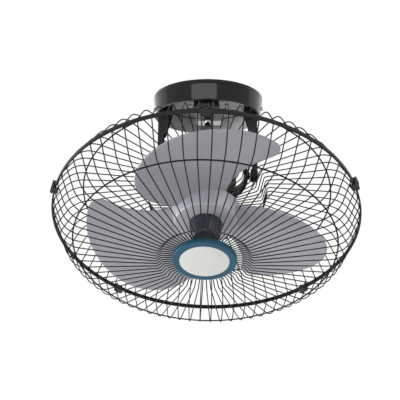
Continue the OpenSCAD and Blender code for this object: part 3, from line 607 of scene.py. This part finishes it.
# %% [markdown]
# ## The rings across the wires
# A ring of slightly thicker wire is welded across the radial ones of each guard. It is bent from one length
# and butt welded, which leaves a small swelling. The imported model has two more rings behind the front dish
# and two more in the rear well. The photograph shows only the chain of bends there, so those four aren't
# drawn.

# %% Guard rings
def along_ring(radius, height, angles):
    """Points of a ring round the axis, at angles in degrees."""
    return [Vector((radius * cos(radians(a)), radius * sin(radians(a)), height)) * MM for a in angles]


def weld_bead(radius, height, at, size):
    """The swelling of a butt weld: a short, fat length of wire along the ring."""
    return wire("bead", along_ring(radius, height, [at + t for t in (-1.1, -0.6, 0, 0.6, 1.1)]), size * MM)


def rings_of(node):
    """Radius and height of each ring of a node, from the loose parts of its mesh."""
    inverse = HEAD.inverted()
    mesh = frame["nodes"][node].data
    points = [inverse @ v.co / MM for v in mesh.vertices]
    found = []
    for p in points:
        r = hypot(p.x, p.y)
        for group in found:
            if abs(group[0][0] - r) < 4 and abs(group[0][1] - p.z) < 4:
                group.append((r, p.z))
                break
        else:
            found.append([(r, p.z)])
    middles = []
    for group in found:
        radii, heights = [g[0] for g in group], [g[1] for g in group]
        middles.append(((min(radii) + max(radii)) / 2, (min(heights) + max(heights)) / 2))
    return middles


ring_wire_r, bead_r = 1.15, 1.357
for name, bends_end, node in (("front_rings", dish_r, "front_guard_rings"),
                              ("rear_rings", well_r + 4, "rear_guard_rings")):
    parts = []
    shown = [ring for ring in rings_of(node) if ring[0] > bends_end]
    for k, (radius, height) in enumerate(shown):
        circle = along_ring(radius, height, [2.5 * step for step in range(144)])
        parts.append(wire("ring", circle, ring_wire_r * MM, 3, loop=True))
        parts.append(weld_bead(radius, height, 77 + 40 * k, bead_r))
        print("ring of radius", round(radius, 1), "mm at", round(height, 1))
    piece = joined(name, parts)
    piece.data.transform(HEAD)
    finish_piece(smooth(piece, 60), wire_black, "head", node)

# %% [markdown]
# ## The blades
# Hub and blades are one moulding. A blade is a thin sheet bent round a big cylinder that leans with the
# pitch and the rake. Its outline is drawn flat from four arcs: a hollow leading edge, a small round corner,
# the wide tip and the full trailing edge. It is cut into a grid by bisecting, and each point is lifted on to
# the cylinder. Solidify gives the sheet its wall, and a bevel rounds the rim.

# %% Blade outline
sweep_r, bulge_r, tip_r, corner_r = 200.5, 91, 140, 19
blade_turn, lead_c, lead_r = radians(2.7), Vector((25.4, -131)), 100.9
hub_r = 53.5
root_r = hub_r - 3.5


def direction(angle):
    return Vector((cos(angle), sin(angle)))


def arc(centre, radius, start, stop, steps):
    return [centre + radius * direction(start + (stop - start) * k / steps) for k in range(steps + 1)]


def where_met(centre, radius, reach, side):
    """Angle, from its own centre, at which a circle crosses the circle of radius reach about the axis."""
    gap = centre.length
    turn = acos((radius ** 2 + gap ** 2 - reach ** 2) / (2 * radius * gap))
    return atan2(-centre.y, -centre.x) + side * turn


def blade_outline():
    """Points of one blade seen along the axis, in mm, with the blade along +X."""
    line = direction(blade_turn)
    bulge_c, tip_c = line * (sweep_r - bulge_r), line * (sweep_r - tip_r)
    inner, outer, gap = tip_r - corner_r, lead_r + corner_r, lead_c - tip_c
    ahead = gap.normalized()
    along = (inner ** 2 - outer ** 2 + gap.length_squared) / (2 * gap.length)
    corner_c = tip_c + ahead * along + Vector((-ahead.y, ahead.x)) * sqrt(inner ** 2 - along ** 2)
    lead_stop, tip_start = (atan2(*(corner_c - c).yx) for c in (lead_c, tip_c))
    points = arc(lead_c, lead_r, where_met(lead_c, lead_r, root_r, -1), lead_stop, 20)
    points += arc(corner_c, corner_r, lead_stop + pi, tip_start + 2 * pi, 8)[1:]
    points += arc(tip_c, tip_r, tip_start, blade_turn, 18)[1:]
    points += arc(bulge_c, bulge_r, blade_turn, where_met(bulge_c, bulge_r, root_r, -1) + 2 * pi, 30)[1:]
    first, last = (atan2(*points[k].yx) for k in (0, -1))
    return points + arc(Vector((0, 0)), root_r, last, first, 10)[1:-1]


outline = blade_outline()
print("outline of", len(outline), "points, reaching", round(max(p.length for p in outline), 1), "mm")

# %% [markdown]
# ## From outline to blade
# Each point of the flat sheet is lifted on to the leaning cylinder. Where the cylinder is pitched, a point's
# own height shifts it along the curve, so the height is found in a few rounds. One blade is modelled and
# copied twice.

# %% One blade
camber_r, blade_t = 800, 2.6
pitch, rake = radians(13.1), radians(10)
blade_mid_r, blade_mid_z = 120, z0 - 11.5


def lift(x, y):
    """Height in the head's frame of the middle of the sheet above a point, in mm."""
    v = y / cos(pitch)
    for _ in range(6):
        w = camber_r - sqrt(camber_r ** 2 - v * v)
        v = (y + w * sin(pitch)) / cos(pitch)
    w = camber_r - sqrt(camber_r ** 2 - v * v)
    height = v * sin(pitch) + w * cos(pitch)
    u = (x - blade_mid_r + height * sin(rake)) / cos(rake)
    return blade_mid_z + u * sin(rake) + height * cos(rake)


def one_blade(cuts=22):
    piece = new_piece("blade_sheet", [(p.x * MM, p.y * MM, 0) for p in outline], faces=[range(len(outline))])
    bpy.ops.object.mode_set(mode="EDIT")
    for axis in range(2):
        lo, hi = min(p[axis] for p in outline), max(p[axis] for p in outline)
        across = [0, 0, 0]
        across[axis] = 1
        for k in range(1, cuts):
            cut = [0, 0, 0]
            cut[axis] = (lo + (hi - lo) * k / cuts) * MM
            bpy.ops.mesh.select_all(action="SELECT")
            bpy.ops.mesh.bisect(plane_co=cut, plane_no=across)
    bpy.ops.mesh.select_all(action="SELECT")
    bpy.ops.mesh.remove_doubles(threshold=1e-5)
    bpy.ops.mesh.normals_make_consistent(inside=False)
    bpy.ops.object.mode_set(mode="OBJECT")
    for vertex in piece.data.vertices:
        vertex.co.z = lift(vertex.co.x / MM, vertex.co.y / MM) * MM
    apply(piece, "SOLIDIFY", thickness=blade_t * MM, offset=0, use_even_offset=True)
    apply(piece, "BEVEL", width=0.9 * MM, segments=3, limit_method="ANGLE", angle_limit=radians(50))
    return piece


blades = copies(one_blade(), around(3, 90))
print("three blades of", len(blades[0].data.polygons), "faces")

# %% [markdown]
# ## The hub
# The hub is a cup with a boss for the shaft, turned from a profile. The three blades are joined to it by
# an exact boolean, because on the real fan they are one moulding.

# %% Hub
hub_wall, bore_r, boss_r, boss_l = 2.4, 4.05, 12, 16
hub_back = z0 + floor_z + 4
hub_front = hub_back + 29.5
hub_front_r = hub_r - 5
hub_profile = [
    (hub_r, hub_back), (hub_front_r + 0.4, hub_front - 2), (hub_front_r - 1.6, hub_front),
    (bore_r, hub_front), (bore_r, hub_front - boss_l), (boss_r, hub_front - boss_l),
    (boss_r, hub_front - hub_wall), (hub_front_r - hub_wall, hub_front - hub_wall),
    (hub_r - hub_wall, hub_back)]
hub = turned("hub", hub_profile, [0.9, 0.8, 0.8, 0.3, 0.3, 0.5, 0.8, 1.2, 0.6])
for blade in blades:
    apply(hub, "BOOLEAN", operation="UNION", object=blade, solver="EXACT")
    bpy.data.objects.remove(blade)
hub.data.transform(HEAD)
hub.name = "blade_moulding"
finish_piece(smooth(hub, 32), blade_grey, "rotor", "blade")

# %% [markdown]
# ## The blade nut
# The nut that holds the blades is a moulded cap with finger flutes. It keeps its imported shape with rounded
# edges, and is spread a little about its axis, to the width that the photograph shows.

# %% Blade nut
nut_piece = softened("blade_nut", 0.45, 30)
nut_spread = 1.08
nut_piece.data.transform(HEAD @ Matrix.Diagonal((nut_spread, nut_spread, 1, 1)) @ HEAD.inverted())
finish_piece(nut_piece, nut_blue, "rotor", "blade_nut")

# %% [markdown]
# ## The badge
# A blue ring with a full, rounded rim holds a white plate that stands slightly domed. Both are turned. The
# plate is bare, because this is a shared model for any fan of the kind.

# %% Badge
ring_low, ring_high = size_in("badge_ring", HEAD)
badge_r, badge_z, badge_top = ring_high.x / MM, ring_low.z / MM, ring_high.z / MM
badge_plate_r, badge_seat, plate_rise, badge_dome, screw_hole_r = 37.4, 4, 5.8, 300, 2.05
recess_r = badge_plate_r + 0.1
badge_profile = [
    (badge_r, badge_z), (badge_r, badge_top), (recess_r, badge_top), (recess_r, badge_z + badge_seat),
    (screw_hole_r, badge_z + badge_seat), (screw_hole_r, badge_z)]
finish_piece(turned("badge_bezel", badge_profile, [0.6, 2.6, 0.5, 0.1, 0, 0], HEAD, arc_steps=6),
             badge_blue, "head", "badge_ring")
plate_z = badge_z + badge_seat + 0.02
rounds = [badge_plate_r * k / 10 for k in range(11)]
dome = [(r, plate_z + plate_rise - badge_dome + sqrt(badge_dome ** 2 - r * r)) for r in rounds]
face_profile = [(0, plate_z), *dome, (badge_plate_r, plate_z)]
finish_piece(turned("badge_face", face_profile, [0] * 11 + [0.7, 0.2], HEAD, steps=128),
             badge_white, "head", "badge_plate")

# %% [markdown]
# ## Everything else
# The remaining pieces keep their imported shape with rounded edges. The tables say which finish and which bevel
# each one gets, in mm where it isn't the usual 0.3. The ball and the windings are round already.

# %% The rest of the pieces
body_of = {node: body for body, nodes in frame["record"]["behaviour"]["bodies"].items() for node in nodes}
finishes = {
    frame_black: "yoke_arm_left yoke_arm_right gimbal_ring guard_plate",
    cast_black: "motor_rear_shell motor_front_shell",
    black_plastic: "ball_seat terminal_box terminal_lid stud_sleeve guard_lock_nut drive_gearbox clip_lugs "
                   "guard_clip_1 guard_clip_2 guard_clip_3 guard_clip_4 guard_clip_5",
    zinc: "canopy_screws crossbar_screws yoke_screws yoke_pins pin_clips seat_nut terminal_screw cross_pins "
          "crank_screw motor_bolts gearbox_screws clip_pins badge_back badge_screw drive_pin",
    steel: "output_shaft ball_stud rear_bearing front_bearing motor_shaft",
    pressed_steel: "crank_arm",
    laminations: "stator_core rotor_core",
    copper: "stator_windings",
    nylon: "gimbal_bushes",
    case_grey: "capacitor",
    primer_grey: "crossbar",
    rubber: "cable_grommet",
}
bevels = {"yoke_arm_left": 0.9, "yoke_arm_right": 0.9, "gimbal_ring": 0.9, "crossbar": 0.7,
          "terminal_box": 0.8, "terminal_lid": 0.6, "drive_gearbox": 0.9, "capacitor": 1.0, "crank_arm": 0.8}
bevels.update({f"guard_clip_{k}": 0.4 for k in range(1, 6)})
as_packed = {"stator_windings", "ball_stud"}
for finish, names in finishes.items():
    for node in names.split():
        if node in as_packed:
            packed = frame["nodes"][node]
            packed.data.materials.clear()
            packed.data.materials.append(finish.material)
            print(node, "keeps its packed shape")
        else:
            finish_piece(softened(node, bevels.get(node, 0.3)), finish, body_of[node], node)

# %% [markdown]
# ## Room and light
# The fan hangs in a plain white studio. The camera and the reflections see the floor and the world as plain
# white. As a light the world is much weaker, because a white room that lit from all sides would take the
# shape out of the blades. The lamps are large and soft, and a colour renders about as it is written.

# %% Room
def white_to_look_at(tree, plain, out):
    """White to the camera and in reflections. The plain shader otherwise."""
    path = tree.nodes.new("ShaderNodeLightPath")
    shown = path.outputs["Is Camera Ray"]
    for ray in ("Is Glossy Ray", "Is Transmission Ray"):
        either = tree.nodes.new("ShaderNodeMath")
        either.operation = "MAXIMUM"
        tree.links.new(shown, either.inputs[0])
        tree.links.new(path.outputs[ray], either.inputs[1])
        shown = either.outputs[0]
    white = tree.nodes.new("ShaderNodeEmission" if plain.type != "BACKGROUND" else "ShaderNodeBackground")
    white.inputs["Color"].default_value = (1, 1, 1, 1)
    mixed = tree.nodes.new("ShaderNodeMixShader")
    tree.links.new(shown, mixed.inputs[0])
    tree.links.new(plain.outputs[0], mixed.inputs[1])
    tree.links.new(white.outputs[0], mixed.inputs[2])
    tree.links.new(mixed.outputs[0], out.inputs["Surface"])


world = bpy.data.worlds.new("studio")
bpy.context.scene.world = world
world.use_nodes = True
room = world.node_tree
room.nodes["Background"].inputs["Color"].default_value = (1, 1, 1, 1)
room.nodes["Background"].inputs["Strength"].default_value = 0.33
white_to_look_at(room, room.nodes["Background"], room.nodes["World Output"])

deselect()
bpy.ops.mesh.primitive_plane_add(size=30, location=(0, 0, -2.2))
floor = bpy.context.active_object
floor.name = "floor"
floor_finish = Finish("pale_floor", Roughness=0.9)
floor_cloud = floor_finish.noise(2, 2)
floor_finish.feed("Base Color", floor_finish.mix(floor_cloud, rgb(232, 232, 232), rgb(240, 240, 240)))
white_to_look_at(floor_finish.tree, floor_finish.shader, floor_finish.tree.nodes["Material Output"])
floor.data.materials.append(floor_finish.material)
print("room ready")

# %% [markdown]
# ## The lamps
# A wide soft box in front draws the upright band on the canopy. Two lamps from the sides model the blades,
# one from above right reaches the side of the hub, one from below opens up the canopy, and two weak ones
# behind trace the ends of the canopy. Each is given by the brightness of its face, because that is what a
# reflection shows.

# %% Lamps
def lamp(name, at, aim, size, radiance):
    """A soft box. Radiance is how bright its face is, where the white of the backdrop is 1."""
    data = bpy.data.lights.new(name, "AREA")
    data.shape, data.size, data.size_y = "RECTANGLE", size[0], size[1]
    data.energy = radiance * pi * size[0] * size[1]
    thing = bpy.data.objects.new(name, data)
    thing.location = at
    thing.rotation_euler = (Vector(aim) - Vector(at)).to_track_quat("-Z", "Y").to_euler()
    bpy.context.scene.collection.objects.link(thing)


lamp("front", (-0.33, -2.6, 0.15), (-0.33, 0, 0.15), (2.5, 1.3), 3.0)
lamp("low_left", (-3.0, -0.1, -1.2), (0, -0.1, -0.3), (2.4, 1.6), 9.5)
lamp("right", (1.9, -0.9, -0.9), (0, -0.1, -0.3), (1.0, 1.0), 3.2)
lamp("high_right", (1.9, -1.3, 1.7), (0, -0.1, -0.2), (1.2, 1.2), 4.5)
lamp("below", (0.1, -0.3, -2.0), (0, -0.1, -0.2), (2.4, 2.4), 0.4)
lamp("back_left", (-2.0, 1.5, 0.2), (0, 0, -0.1), (3.4, 2.0), 0.5)
lamp("back_right", (2.2, 1.5, 0.2), (0, 0, -0.1), (2.8, 2.0), 0.5)
bpy.context.scene.view_settings.view_transform = "Standard"
print("lamps ready")
